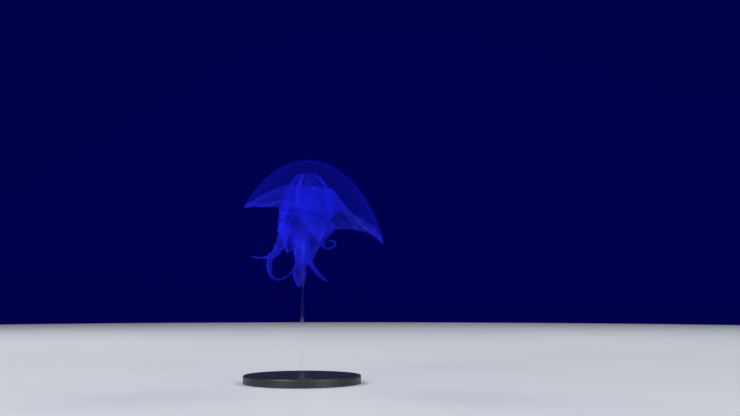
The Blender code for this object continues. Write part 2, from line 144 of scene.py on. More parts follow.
# ---- Fineness of the skin -------------------------------------------------------------
AROUND_BELL = 384
AROUND = 192                        # round the column, 48 for each lip
DOME_ROWS = 34
WALL_ROWS = 40
COLUMN_ROWS = 32
AROUND_HOLLOW = 96                  # round the clear jelly and the stomach
HOLLOW_ROWS = 30                    # under the dome, and as many over the wall
ROOF_ROWS = 25
STOMACH_ROWS = 48
RING_STEP = 0.63 * MM               # along an arm

# ---- Tissue ---------------------------------------------------------------------------
FIBRES = 9.0                        # how finely fibres divide the circle
LAPPETS = 5                         # small scallops on each rim lobe
LAPPET_RISE = 0.45 * MM
PLEATS = 32                         # radial folds of the inner wall
PLEAT_DEPTH = 0.2 * MM
OUTER_LAYER = 2.0 * MM              # tissue outside the clear jelly
OUTER_LAYER_LONG = 0.6 * MM         # how much thicker it is at the long side's tip
INNER_LAYER = 0.7 * MM
LAYER_SHARE = 0.34                  # but at most this share of the bell's thickness
STOMACH_LAYER = 1.9 * MM
LIP_DEPTH = 45.5 * MM               # where the column parts into four lips
LIP_THICKNESS = 2.0 * MM
LIP_LENGTH = 7.0 * MM               # over which a lip turns into an arm
MEMBRANE = 0.4 * MM                 # thickness of the frilled margins
FRILL_LENGTH = 8.6 * MM
FRILL_MOST = 0.9 * MM
FRILL_START = 16.0 * MM             # over which the frill grows from a lip
FRILL_RING = 3.1 * MM               # radius of the small ring of rolled frill,
FRILL_RING_PLACE = (-15.2 * MM, -15.6 * MM, 50.6 * MM)      # and its middle: x, y, depth
CANALS = 16                         # radial canals, every other one branched
CANAL_END = 0.965                   # share of the wall at which they meet the ring canal
CANAL_RISE = 0.45 * MM              # above the wall's surface
TENTACLES = 320
TENTACLE_LENGTHS = (1.5 * MM, 3.0 * MM)
TENTACLE_RADII = (0.16 * MM, 0.05 * MM)
RHOPALIUM_REACH = 0.75 * MM         # half the length of a sense organ
RHOPALIUM_RADIUS = 0.45 * MM

# ---- How milky each tissue is ---------------------------------------------------------
DOME_MILK = 0.05                    # at the apex, with as much again at the rim
RIM_MILK = 0.22                     # added along the rim's margin
BEAD_MILK = (0.18, 0.24)            # the rim's bead on the near side, and more on the far one
WALL_MILK = 0.17
SHOULDER_MILK = 0.22                # added where the wall meets the column
WALL_SLANT = 0.26                   # how much milkier the long side is, as a share
COLUMN_MILK = 0.24
MOUTH_MILK = 0.2
CLEAR_MILK = 0.02                   # faces towards the clear jelly
STOMACH_ROOF_MILK = 0.10
STOMACH_MILK = 0.06
GONAD_MILK = (                      # each gonad's first limb, bend and last limb
    (0.22, 0.55, 0.24), (0.12, 0.12, 0.12), (0.16, 0.2, 0.16), (0.42, 0.14, 0.1),
)
WEB_MILK = 0.36
STRAND_MILK = 0.6
SPIKE_MILK = 0.5
FRILL_RING_MILK = 0.6
CANAL_MILK = 0.17
TENTACLE_MILK = 0.3
RHOPALIUM_MILK = 0.8


# ---- Shape functions ------------------------------------------------------------------
def polar(angle, radius, depth):
    """Points in the animal's frame; angle, radius and depth are arrays or numbers."""
    angle, radius, depth = np.broadcast_arrays(angle, radius, depth)
    return np.stack([radius * np.cos(angle), radius * np.sin(angle), -depth], axis=-1)


def smooth(value):
    value = np.clip(value, 0.0, 1.0)
    return value * value * (3.0 - 2.0 * value)


def dome_radius(depth):
    left = np.clip(1.0 - depth / DOME_HEIGHT, 0.0, 1.0)
    return DOME_RADIUS * np.sqrt(1.0 - left ** DOME_POWER)


def dome_normal(angle, depth):
    step = 0.01 * MM
    rise = (dome_radius(depth + step) - dome_radius(np.maximum(depth - step, 0.0))) / (2.0 * step)
    length = np.sqrt(1.0 + rise ** 2)
    return polar(angle, 1.0 / length, -rise / length)


def rim_depth(angle):
    """Depth of the bell's edge, with its points, arches, notches and small lappets."""
    first = RIM_TURNS[0]
    turns = np.array(RIM_TURNS + ((first[0] + 360.0, first[1]),))
    degrees = (np.degrees(angle) - first[0]) % 360.0 + first[0]
    span = np.clip(np.searchsorted(turns[:, 0], degrees, side="right") - 1, 0, len(turns) - 2)
    start, end = turns[span], turns[span + 1]
    share = (degrees - start[..., 0]) / (end[..., 0] - start[..., 0])
    from_point = span % 2 == 0
    point = np.where(from_point, start[..., 1], end[..., 1])
    arch = np.where(from_point, end[..., 1], start[..., 1])
    nearness = np.where(from_point, 1.0 - share, share)
    curve = (arch + (point - arch) * nearness ** RIM_POINTEDNESS) * MM
    pitch = 2.0 * math.pi / LOBES
    from_notch = (angle % pitch) - pitch / 2.0
    lappet = LAPPET_RISE * (1.0 - np.abs(np.sin(0.5 * LOBES * LAPPETS * (angle - pitch / 2.0))))
    return curve - NOTCH_RISE * np.exp(-((from_notch / NOTCH_WIDTH) ** 2)) - lappet


def shoulder_depth(angle):
    return SHOULDER_DEPTH - SHOULDER_RISE * (0.5 - 0.5 * np.cos(angle))


def outer_point(angle, share):
    depth = rim_depth(angle) * share
    return polar(angle, dome_radius(depth), depth)


def wall_point(angle, share, pleated=True):
    """Point of the inner wall; share is 0 at the shoulder and 1 at the rim."""
    rim = rim_depth(angle)
    rim_radius = dome_radius(rim) - RIM_THICKNESS
    shoulder = shoulder_depth(angle)
    drop = rim - RIM_THICKNESS / 3.0 - shoulder
    radius = SHOULDER_RADIUS + (rim_radius - SHOULDER_RADIUS) * share
    sag = (WALL_SAG + WALL_SAG_SLANT * np.cos(angle)) * np.sin(math.pi * share)
    depth = shoulder + drop * share + sag
    if pleated:
        depth = depth - PLEAT_DEPTH * np.sin(math.pi * share) ** 2 * (
            1.0 + np.cos(PLEATS * angle + 2.0 * np.sin(3.0 * angle)))
    return polar(angle, radius, depth)


def stomach_radius(depth):
    height = (STOMACH_WAIST - depth) / (STOMACH_WAIST - STOMACH_TOP)
    return STOMACH_RADIUS * np.sqrt(np.clip(1.0 - height ** 2, 0.0, 1.0))


def column_radius(angle, depth):
    """Outside of the column: round by the stomach, four-cornered where the lips part."""
    share = np.clip((depth - STALK_TOP) / (MOUTH_DEPTH - STALK_TOP), 0.0, 1.0)
    ease = np.sin(0.5 * math.pi * share)
    stalk = STALK_TOP_RADIUS + (STALK_RADIUS - STALK_TOP_RADIUS) * ease
    stalk = stalk * (1.0 + STALK_CORNERS * ease * np.cos(ARMS * (angle - ARM_TURN)))
    over_gonad = 0.5 + 0.5 * np.cos(GONADS * (angle - GONAD_TURN))
    bulge = 0.5 * MM * over_gonad * smooth((STALK_TOP - depth) / (8.0 * MM))
    for turn in np.radians(FLARE_TURNS):
        off_flare = (angle - turn + math.pi) % (2.0 * math.pi) - math.pi
        flare = FLARE * np.exp(-((off_flare / FLARE_WIDTH) ** 2))
        bulge = bulge + flare * smooth((depth - FLARE_START) / FLARE_GROWTH)
    return np.where(depth < STALK_TOP, stomach_radius(depth) - 0.2 * MM, stalk) + bulge


# ---- A mesh sewn from rows ------------------------------------------------------------
class Quilt:
    """Collects rows of points into one mesh.

    Each point has a milk, how milky the tissue is there, and a grain, the coordinates
    that its fibres follow.  Each patch has its own strip of the bake map.
    """

    def __init__(self):
        self.points, self.milk, self.grain = [], [], []
        self.faces, self.places = [], []
        self.count = 0

    def row(self, points, milk, grain):
        points = np.atleast_2d(points)
        total = len(points)
        self.points.append(points)
        self.milk.append(np.broadcast_to(milk, (total,)))
        self.grain.append(np.broadcast_to(grain, (total, 3)))
        self.count += total
        return np.arange(self.count - total, self.count)

    def strip(self, upper, lower, chart, begin, end, closed=True, flip=False):
        """Faces between two rows: of equal length, one point, or twice as many."""
        left, bottom, width, height = chart
        count = max(len(upper), len(lower))
        steps = np.arange(count if closed else count - 1)
        v0, v1 = bottom + height * begin, bottom + height * end
        for j in steps:
            u0, u1 = left + width * j / count, left + width * (j + 1) / count
            k = (j + 1) % count
            a, b = upper[j % len(upper)], upper[k % len(upper)]
            c, d = lower[j % len(lower)], lower[k % len(lower)]
            if len(upper) == 2 * len(lower):
                a, b = upper[j], upper[k]
                c, d = lower[j // 2], lower[((j + 1) // 2) % len(lower)]
            corners = [(a, (u0, v0)), (c, (u0, v1)), (d, (u1, v1)), (b, (u1, v0))]
            kept = []
            for corner in corners:
                if all(corner[0] != other[0] for other in kept):
                    kept.append(corner)
            if flip:
                kept.reverse()
            self.faces.append([corner[0] for corner in kept])
            self.places.extend(corner[1] for corner in kept)

    def sheet(self, rows, chart, closed=True, flip=False):
        total = len(rows) - 1
        for i, (upper, lower) in enumerate(zip(rows, rows[1:])):
            self.strip(upper, lower, chart, i / total, (i + 1) / total, closed, flip)

    def cap(self, ring, chart, flip=False):
        """Closes a flat ring whose two halves run side by side."""
        half = len(ring) // 2
        near, far = ring[:half], ring[half:][::-1]
        self.strip(near, far, chart, 0.0, 1.0, closed=False, flip=flip)

    def finish(self, name, material):
        mesh = bpy.data.meshes.new(name)
        mesh.from_pydata((np.concatenate(self.points) + APEX).tolist(), [],
                         [[int(i) for i in face] for face in self.faces])
        mesh.attributes.new("milkiness", "FLOAT", "POINT").data.foreach_set(
            "value", np.concatenate(self.milk).astype(np.float32))
        mesh.attributes.new("grain", "FLOAT_VECTOR", "POINT").data.foreach_set(
            "vector", np.concatenate(self.grain).astype(np.float32).ravel())
        bake_map = mesh.uv_layers.new(name="OFBake")
        bake_map.data.foreach_set("uv", np.array(self.places, dtype=np.float32).ravel())
        mesh.materials.append(material)
        mesh.shade_smooth()
        mesh.update()
        item = bpy.data.objects.new(name, mesh)
        bpy.context.collection.objects.link(item)
        return item


def radial_grain(angle, along):
    """Fibres that run from the centre outwards."""
    angle, along = np.broadcast_arrays(angle, along)
    return np.stack([FIBRES * np.cos(angle), FIBRES * np.sin(angle), along], axis=-1)


def no_grain():
    return np.zeros((1, 3))


# ---- Bell, wall and column ------------------------------------------------------------
def sew_bell(quilt):
    """The outside, from the apex over the rim to the ring where the lips part."""
    angles = GONAD_TURN + 2.0 * math.pi * np.arange(AROUND_BELL) / AROUND_BELL
    chart = (0.0, 0.0, 1.0, 0.24)
    rows = [quilt.row(np.zeros(3), DOME_MILK, no_grain())]
    for step in range(1, DOME_ROWS + 1):
        share = (step / DOME_ROWS) ** 1.2
        margin = smooth((share - 0.9) / 0.1)
        milk = DOME_MILK + DOME_MILK * share + RIM_MILK * margin
        rows.append(quilt.row(outer_point(angles, share), milk,
                              radial_grain(angles, 2.0 * share)))
    quilt.sheet(rows, chart)

    outer, inner = outer_point(angles, 1.0), wall_point(angles, 1.0)
    middle, half = 0.5 * (outer + inner), 0.5 * (outer - inner)
    down = np.cross(dome_normal(angles, rim_depth(angles)), polar(angles + 0.5 * math.pi, 1.0, 0.0))
    far_side = 0.5 + 0.5 * np.sin(angles)
    rim_rows = [rows[-1]]
    for turn in np.radians((40.0, 80.0, 120.0, 150.0)):
        bead = middle + half * math.cos(turn) - down * 0.6 * MM * math.sin(turn)
        rim_rows.append(quilt.row(bead, BEAD_MILK[0] + BEAD_MILK[1] * far_side,
                                  radial_grain(angles, 2.1)))

    wall_rows = []
    for step in range(WALL_ROWS + 1):
        share = 1.0 - step / WALL_ROWS
        margin = smooth((share - 0.93) / 0.07)
        milk = WALL_MILK + SHOULDER_MILK * (1.0 - share) ** 2 + 0.08 * margin
        wall_rows.append(quilt.row(wall_point(angles, share),
                                   milk * (1.0 + WALL_SLANT * np.cos(angles)),
                                   radial_grain(angles, 3.0 + share)))
    quilt.sheet(rim_rows + wall_rows[:1], (0.0, 0.25, 1.0, 0.02))
    quilt.sheet(wall_rows, (0.0, 0.28, 1.0, 0.24))

    coarse = angles[::2]
    shoulder = shoulder_depth(coarse)
    start = column_radius(coarse, shoulder)
    column_rows = [wall_rows[-1]]
    for turn in np.radians((40.0, 75.0, 110.0, 145.0)):
        across = 0.5 * (SHOULDER_RADIUS - start)
        arch = polar(coarse, start + across * (1.0 + math.cos(turn)),
                     shoulder - 1.1 * MM * math.sin(turn))
        column_rows.append(quilt.row(arch, COLUMN_MILK, radial_grain(coarse, 5.0)))
    for step in range(COLUMN_ROWS + 1):
        share = step / COLUMN_ROWS
        depth = shoulder + (LIP_DEPTH - shoulder) * share
        column_rows.append(quilt.row(polar(coarse, column_radius(coarse, depth), depth),
                                     COLUMN_MILK + 0.08 * share,
                                     radial_grain(coarse, 5.2 + share)))
    quilt.sheet(column_rows, (0.0, 0.53, 1.0, 0.07))
    return coarse, column_rows[-1]


def sew_mouth(quilt, angles, radius):
    """The closed mouth between the lips, with a groove that leads to each arm."""
    rows = []
    steps = 9
    edge = LIP_DEPTH + 0.5 * MM
    from_arm = np.arccos(np.clip(np.cos(ARMS * (angles - ARM_TURN)), -1.0, 1.0)) / ARMS
    for step in range(steps):
        share = 1.0 - step / steps
        reach = (radius - LIP_THICKNESS) * share
        depth = edge + (MOUTH_DEPTH - edge) * smooth(1.0 - share)
        off_groove = reach * np.sin(from_arm)
        groove = 1.4 * MM * np.exp(-((off_groove / (1.3 * MM)) ** 2))
        groove = groove * smooth((reach / MM - 3.0) / 4.0)
        rows.append(quilt.row(polar(angles, reach, depth - groove), MOUTH_MILK,
                              radial_grain(angles, 7.0 + share)))
    rows.append(quilt.row(np.array([0.0, 0.0, -MOUTH_DEPTH]), MOUTH_MILK, no_grain()))
    quilt.sheet(rows, (0.0, 0.61, 1.0, 0.02))
    return rows[0]


# ---- Oral arms ------------------------------------------------------------------------
def trace(stations):
    """Evenly spaced stations along the smooth curve through the given ones, in metres."""
    knots = np.array(stations)
    padded = np.vstack([2 * knots[0] - knots[1], knots, 2 * knots[-1] - knots[-2]])
    dense = []
    for before, start, end, after in zip(padded, padded[1:], padded[2:], padded[3:]):
        for t in np.arange(0.0, 1.0, 0.05):
            dense.append(0.5 * (2.0 * start + (end - before) * t
                                + (2.0 * before - 5.0 * start + 4.0 * end - after) * t ** 2
                                + (3.0 * start - before - 3.0 * end + after) * t ** 3))
    dense = np.array(dense + [knots[-1]])
    dense[:, 3:] = np.maximum(dense[:, 3:], 0.3)
    lengths = np.linalg.norm(np.diff(dense[:, :3], axis=0), axis=1)
    travelled = np.concatenate([[0.0], np.cumsum(lengths)])
    count = max(6, round(travelled[-1] * MM / RING_STEP))
    even = np.linspace(0.0, travelled[-1], count + 1)
    table = np.column_stack([np.interp(even, travelled, dense[:, i]) for i in range(5)]) * MM
    table[:, 2] *= -1.0
    return table, even * MM


def unit(vectors):
    return vectors / np.linalg.norm(vectors, axis=-1, keepdims=True)


def ribbon_rings(stations, width_way, trough, frill, curl, columns, phase=0.0):
    """Cross-sections of an arm: a thick rib with two thin frilled margins.

    Trough is how far the margins stand back from the rib, frill how far they ripple and
    curl how far their edges roll over, each as a share of the half width.
    """
    table, travelled = trace(stations)
    centre = table[:, :3]
    tangent = unit(np.gradient(centre, axis=0))
    if frill > 0.0:
        tangent[0] = (0.0, 0.0, -1.0)
    way = unit(np.array(width_way, dtype=float))
    across = unit(way - tangent * (tangent @ way)[:, None])
    normal = np.cross(tangent, across)
    u = np.linspace(-1.0, 1.0, columns + 1)[None, :]
    half_width = table[:, 3:4]
    rib = table[:, 4:5]
    wave = 2.0 * math.pi * travelled[:, None] / FRILL_LENGTH + phase + 1.3 * (u > 0.0)
    grown = smooth(travelled[:, None] / FRILL_START)
    reach = np.minimum(FRILL_MOST, frill * half_width) * np.abs(u) ** 2.5 * grown
    ripple = np.sin(wave) + 0.35 * np.sin(2.7 * wave + 1.0 + u)
    bend = trough * half_width * u ** 2 - curl * half_width * smooth((np.abs(u) - 0.62) / 0.38)
    lift = bend + reach * ripple
    side = half_width * u + 0.35 * reach * np.cos(1.7 * wave) * np.sign(u)
    thickness = MEMBRANE + np.maximum(rib - MEMBRANE, 0.0) * (1.0 - np.abs(u) ** 1.3)
    middle = centre[:, None] + across[:, None] * side[..., None] + normal[:, None] * lift[..., None]
    offset = 0.5 * normal[:, None] * thickness[..., None]
    rings = np.concatenate([middle + offset, (middle - offset)[:, ::-1]], axis=1)
    return rings, np.concatenate([u[0], u[0, ::-1]]), travelled


def arm_milk(u, distance, length, lean, strength):
    """Milky rib and margins, fainter between them; lean favours one margin."""
    grown = smooth(distance / FRILL_START)
    milk = 0.32 + 0.10 * np.exp(-((u / 0.22) ** 2)) + 0.25 * grown * np.abs(u) ** 3
    return milk * (1.0 + lean * u) * np.interp(distance / length, *zip(*strength))


def sew_arm(quilt, number, outer_ring, inner_ring, stations, width_way, trough, frill, curl,
            lean, strength):
    """One lip of the column, which runs on as an oral arm."""
    columns = AROUND // ARMS
    picks = np.arange(number * columns, (number + 1) * columns + 1) % AROUND
    start = np.concatenate([outer_ring[picks], inner_ring[picks][::-1]])
    points = np.concatenate(quilt.points)
    rings, u, travelled = ribbon_rings(stations, width_way, trough, frill, curl, columns,
                                       phase=1.7 * number)
    from_lip = points[start] - rings[0]
    rows = [start]
    for ring, distance in zip(rings[1:], travelled[1:]):
        blend = 1.0 - smooth(distance / LIP_LENGTH)
        grain = np.stack([np.abs(u) * 5.0, np.full_like(u, distance / MM * 0.08),
                          np.full_like(u, 10.0 + 3.0 * number)], axis=-1)
        milk = arm_milk(u, distance, travelled[-1], lean, strength)
        rows.append(quilt.row(ring + blend * from_lip, milk, grain))
    chart = (0.25 * number, 0.64, 0.24, 0.22)
    quilt.sheet(rows, chart)
    quilt.cap(rows[-1], (0.25 * number, 0.865, 0.24, 0.003))


def sew_streamer(quilt, number, stations, width_way, milk, columns=8, frill=0.0):
    """A free strip of frill, not sewn to its arm; number is its place on the bake map."""
    rings, u, travelled = ribbon_rings(stations, width_way, 0.0, frill, 0.0, columns)
    rows = []
    for ring, distance in zip(rings, travelled):
        grain = np.stack([np.abs(u) * 2.0, np.full_like(u, distance / MM * 0.08),
                          np.full_like(u, 30.0 + 3.0 * number)], axis=-1)
        rows.append(quilt.row(ring, milk * (1.0 - 0.3 * distance / travelled[-1]), grain))
    left = 0.2 * number
    quilt.cap(rows[0], (left, 0.872, 0.08, 0.002), flip=True)
    quilt.sheet(rows, (left, 0.876, 0.18, 0.02))
    quilt.cap(rows[-1], (left + 0.1, 0.872, 0.08, 0.002))


def sew_curled_frill(quilt):
    """The small open ring of rolled frill between the left lip and the front one.

    It takes the third place of the streamers on the bake map.
    """
    turns = np.radians(np.linspace(40.0, 400.0, 40))
    x, y, depth = FRILL_RING_PLACE
    path = np.stack([x + FRILL_RING * np.cos(turns), y + 0.4 * MM * np.cos(0.5 * turns),
                     -depth + (FRILL_RING + 0.2 * MM) * np.sin(turns)], axis=-1)
    radius = (1.0 + 0.2 * np.sin(5.0 * turns) + 0.25 * np.sin(0.5 * turns)) * MM
    sew_tube(quilt, path, radius, 12, FRILL_RING_MILK, (0.4, 0.872, 0.18, 0.026), 40.0)


def sew_skin(material):
    quilt = Quilt()
    angles, outer_ring = sew_bell(quilt)
    inner_ring = sew_mouth(quilt, angles, column_radius(angles, LIP_DEPTH))
    # stations, width direction, trough, frill, curl, lean, and strength along the arm
    arms = (
        (RIGHT_ARM, (0.7, 0.7, 0.0), 0.2, 0.2, 0.0, 0.0,
         ((0.0, 1.3), (0.2, 1.1), (0.35, 0.7), (0.6, 0.75), (1.0, 0.75))),
        (BACK_ARM, (-0.85, -0.5, 0.0), -0.25, 0.15, 0.1, 0.0,
         ((0.0, 0.7), (0.5, 0.7), (0.8, 0.8), (1.0, 0.6))),
        (LEFT_ARM, (0.85, -0.5, 0.0), -0.25, 0.25, 0.15, -0.3,
         ((0.0, 1.6), (0.1, 1.4), (0.2, 1.15), (0.45, 0.95), (0.6, 0.75), (0.72, 0.5),
          (1.0, 0.5))),
        (FRONT_ARM, (1.0, 0.0, 0.0), -0.28, 0.12, 0.3, -0.22,
         ((0.0, 1.0), (0.25, 0.95), (0.4, 1.0), (0.62, 1.05), (0.72, 0.75), (0.92, 0.75),
          (1.0, 1.0))),
    )
    for number, arm in enumerate(arms):
        sew_arm(quilt, number, outer_ring, inner_ring, *arm)
    sew_streamer(quilt, 0, LEFT_SPIKE, (0.0, -1.0, 0.3), SPIKE_MILK)
    sew_streamer(quilt, 1, LEFT_STRAND, (1.0, -0.3, 0.0), STRAND_MILK)
    sew_streamer(quilt, 3, LEFT_WEB, (1.0, 0.1, 0.0), WEB_MILK, columns=10, frill=0.2)
    sew_curled_frill(quilt)
    hollow_angles = 2.0 * math.pi * np.arange(AROUND_HOLLOW) / AROUND_HOLLOW
    sew_clear_jelly(quilt, hollow_angles)
    sew_stomach(quilt, hollow_angles)
    return quilt.finish("jelly_skin", material)


# ---- The hollows ----------------------------------------------------------------------
def sew_clear_jelly(quilt, angles):
    """Faces towards the clear jelly: under the dome, over the wall and round the stomach."""
    long_side = 0.5 + 0.5 * np.cos(angles - math.radians(RIM_TURNS[0][0]))
    shares = np.linspace(0.0, 1.0, 41)[:, None]
    dome_line, wall_line = outer_point(angles, shares), wall_point(angles, shares, pleated=False)

    def row(points, milk, along):
        return quilt.row(points, milk, radial_grain(angles, along))

    def layer_limit(points, other_side):
        return LAYER_SHARE * np.linalg.norm(other_side - points, axis=-1).min(axis=0)

    jelly = [quilt.row(np.array([0.0, 0.0, -OUTER_LAYER]), CLEAR_MILK, no_grain())]
    for step in range(1, HOLLOW_ROWS + 1):
        share = 0.94 * (step / HOLLOW_ROWS) ** 1.2
        depth = rim_depth(angles) * share
        point = polar(angles, dome_radius(depth), depth)
        layer = OUTER_LAYER + OUTER_LAYER_LONG * long_side ** 6 * share ** 3
        layer = np.minimum(layer, layer_limit(point, wall_line))
        inside = point - dome_normal(angles, depth) * layer[:, None]
        jelly.append(row(inside, CLEAR_MILK, 20.0 + share))
    for step in range(HOLLOW_ROWS + 1):
        share = 0.92 * (1.0 - step / HOLLOW_ROWS)
        wall = wall_point(angles, share, pleated=False)
        slope = wall_point(angles, share + 0.01, pleated=False) - wall
        run = np.hypot(slope[:, 0], slope[:, 1])
        length = np.hypot(run, slope[:, 2])
        layer = np.minimum(INNER_LAYER, layer_limit(wall, dome_line))[:, None]
        jelly.append(row(wall + layer * polar(angles, -slope[:, 2] / length, -run / length),
                         CLEAR_MILK, 22.0 + share))
    roof = shoulder_depth(angles) - 1.5 * MM
    for step in range(1, ROOF_ROWS):
        lift = math.sin(0.5 * math.pi * step / ROOF_ROWS)
        depth = roof - (roof - STOMACH_TOP) * lift
        radius = stomach_radius(np.maximum(depth, STOMACH_TOP)) + 0.2 * MM
        jelly.append(row(polar(angles, radius, depth), STOMACH_ROOF_MILK, 24.0 + lift))
    roof_top = np.array([0.0, 0.0, -STOMACH_TOP + 0.2 * MM])
    jelly.append(quilt.row(roof_top, STOMACH_ROOF_MILK, no_grain()))
    quilt.sheet(jelly, (0.0, 0.90, 1.0, 0.05), flip=True)


def sew_stomach(quilt, angles):
    """Faces towards the stomach's inside, drawn in between the gonads."""
    top, bottom = STOMACH_TOP + STOMACH_LAYER, MOUTH_DEPTH - STOMACH_LAYER
    stomach = [quilt.row(np.array([0.0, 0.0, -top]), STOMACH_ROOF_MILK, no_grain())]
    for step in range(1, STOMACH_ROWS):
        lift = 0.5 - 0.5 * math.cos(math.pi * step / STOMACH_ROWS)
        depth = top + (bottom - top) * lift
        fold = 0.5 - 0.5 * np.cos(GONADS * (angles - GONAD_TURN))
        bulge = math.sin(math.pi * min(1.0, (depth - STOMACH_TOP) / (LIP_DEPTH - STOMACH_TOP)))
        radius = (stomach_radius(depth) - STOMACH_LAYER) * (1.0 - 0.12 * fold * bulge)
        floor = max(0.0, (depth - LIP_DEPTH + 2.0 * MM) / (bottom - LIP_DEPTH + 2.0 * MM))
        radius = radius * math.sqrt(1.0 - floor ** 1.2)
        stomach.append(quilt.row(polar(angles, radius, depth), STOMACH_MILK,
                                 radial_grain(angles, 26.0 + lift)))
    stomach.append(quilt.row(np.array([0.0, 0.0, -bottom]), STOMACH_ROOF_MILK, no_grain()))
    quilt.sheet(stomach, (0.0, 0.955, 1.0, 0.04), flip=True)


# ---- Tubes: gonads, canals, tentacles -------------------------------------------------
def sew_tube(quilt, path, radius, sides, milk, chart, seed):
    """A closed tube along a path, with one radius for each point."""
    path = np.asarray(path)
    tangent = unit(np.gradient(path, axis=0))
    upright = abs(tangent[0, 2]) >= 0.9
    guide = np.array([1.0, 0.0, 0.0]) if upright else np.array([0.0, 0.0, 1.0])
    side = unit(np.cross(tangent[0], guide))
    turns = 2.0 * math.pi * np.arange(sides) / sides
    rows = [quilt.row(path[0], milk, np.full((1, 3), seed))]
    for i, point in enumerate(path):
        side = unit(side - tangent[i] * (tangent[i] @ side))
        other = np.cross(tangent[i], side)
        ring = point + radius[i] * (np.cos(turns)[:, None] * side
                                    + np.sin(turns)[:, None] * other)
        grain = np.stack([np.cos(turns), np.sin(turns), np.full(sides, seed + 0.3 * i)], axis=-1)
        rows.append(quilt.row(ring, milk, grain))
    rows.append(quilt.row(path[-1], milk, np.full((1, 3), seed + 1.0)))
    quilt.sheet(rows, chart, flip=True)


def make_gonads(material):
    """Four horseshoes of folded tissue, each with its bend at the bottom."""
    quilt = Quilt()
    steps = np.linspace(-1.0, 1.0, 161)
    share = np.abs(steps)
    sides = 16
    turns = 2.0 * math.pi * np.arange(sides) / sides
    for number in range(GONADS):
        middle = GONAD_TURN + number * 2.0 * math.pi / GONADS
        length = 64.0 * steps + 2.0 * number
        meander = 0.7 * MM * np.sin(1.05 * length) * (0.5 + 0.5 * (1.0 - share))
        depth = GONAD_END - (GONAD_END - GONAD_TOP) * share ** GONAD_CURVE
        opening = GONAD_SPREAD * np.sin(0.5 * math.pi * np.minimum(1.0, GONAD_BEND * share))
        swing = opening * np.sign(steps) * STOMACH_RADIUS + meander
        # the band lies flat on the stomach's wall: first its outline, then its fullness
        ahead = unit(np.stack([np.gradient(swing), np.gradient(depth)], axis=-1))
        fold = np.sin(1.7 * length[:, None] + 4.0 * turns[None])
        broad = GONAD_BREADTH * (1.0 - 0.3 * share[:, None] ** 3) * (1.0 + 0.16 * fold)
        swing = swing[:, None] - ahead[:, 1:] * broad * np.cos(turns)
        low = depth[:, None] + ahead[:, :1] * broad * np.cos(turns)
        full = stomach_radius(low) - 0.7 * MM
        radius = full - GONAD_TUBE * (1.0 + 0.2 * fold) * (1.0 + np.sin(turns))
        rings = polar(middle + swing / STOMACH_RADIUS, radius, low)
        before, bend, after = GONAD_MILK[number]
        milk = np.interp(steps, (-1.0, -0.45, 0.0, 0.45, 1.0),
                         (0.7 * before, before, bend, after, 0.7 * after))
        rows = [quilt.row(rings[0].mean(axis=0), milk[0], no_grain())]
        for ring, ring_milk, distance in zip(rings, milk, length):
            grain = np.stack([np.cos(turns), np.sin(turns), np.full(sides, 0.3 * distance)],
                             axis=-1)
            rows.append(quilt.row(ring, ring_milk, grain))
        rows.append(quilt.row(rings[-1].mean(axis=0), milk[-1], no_grain()))
        quilt.sheet(rows, (0.25 * number, 0.0, 0.24, 1.0), flip=True)
    return quilt.finish("gonads", material)


def make_canals(material):
    """The radial canals in the inner wall, every other one branched, and the ring canal."""
    quilt = Quilt()
    paths = []

    def canal(angle, start, end, drift):
        share = np.linspace(start, end, 26)
        bend = angle + drift * smooth((share - start) / (end - start))
        wall = wall_point(bend + 0.004 * np.sin(30.0 * share + 9.0 * angle), share)
        paths.append(wall + np.array([0.0, 0.0, CANAL_RISE]))

    for number in range(CANALS):
        angle = ARM_TURN + number * 2.0 * math.pi / CANALS
        canal(angle, 0.02, CANAL_END, 0.0)
        if number % 2 == 0:
            for sense in (-1.0, 1.0):
                canal(angle, 0.28, CANAL_END, sense * math.radians(7.0))
                canal(angle + sense * math.radians(2.6), 0.52, CANAL_END,
                      sense * math.radians(9.0))
    ring = np.linspace(0.0, 2.0 * math.pi, 361)
    paths.append(wall_point(ring, 0.972) + np.array([0.0, 0.0, 0.35 * MM]))
    strips = len(paths)
    for index, path in enumerate(paths):
        radius = np.full(len(path), 0.30 * MM)
        if index < strips - 1:
            radius = np.linspace(0.34, 0.22, len(path)) * MM
        chart = (index / strips, 0.0, 0.9 / strips, 1.0)
        sew_tube(quilt, path, radius, 6, CANAL_MILK, chart, index)
    return quilt.finish("radial_canals", material)


def make_fringe(material):
    """The short tentacles that hang inside the rim."""
    quilt = Quilt()
    shortest, longest = TENTACLE_LENGTHS
    for number in range(TENTACLES):
        angle = 2.0 * math.pi * (number + 0.35 * RANDOM.random()) / TENTACLES
        length = shortest + (longest - shortest) * RANDOM.random()
        lean = math.radians(RANDOM.uniform(25.0, 60.0))
        drift = RANDOM.uniform(-0.35, 0.35)
        share = np.linspace(0.0, 1.0, 6)
        at = np.array([angle])
        root = 0.5 * (outer_point(at, 1.0) + wall_point(at, 1.0))[0]
        root[2] += 0.3 * MM
        inward = -np.array([math.cos(angle), math.sin(angle), 0.0])
        sideways = np.array([-math.sin(angle), math.cos(angle), 0.0])
        swing = lean * (0.5 + 0.9 * share)[:, None]
        path = root + length * share[:, None] * (
            np.cos(swing) * np.array([0.0, 0.0, -1.0]) + np.sin(swing) * inward
            + drift * share[:, None] * sideways)
        column, line = number % 20, number // 20
        chart = (column / 20, line / 16, 0.04, 0.055)
        sew_tube(quilt, path, np.linspace(*TENTACLE_RADII, 6), 5, TENTACLE_MILK, chart, number)
    return quilt.finish("margin_tentacles", material)


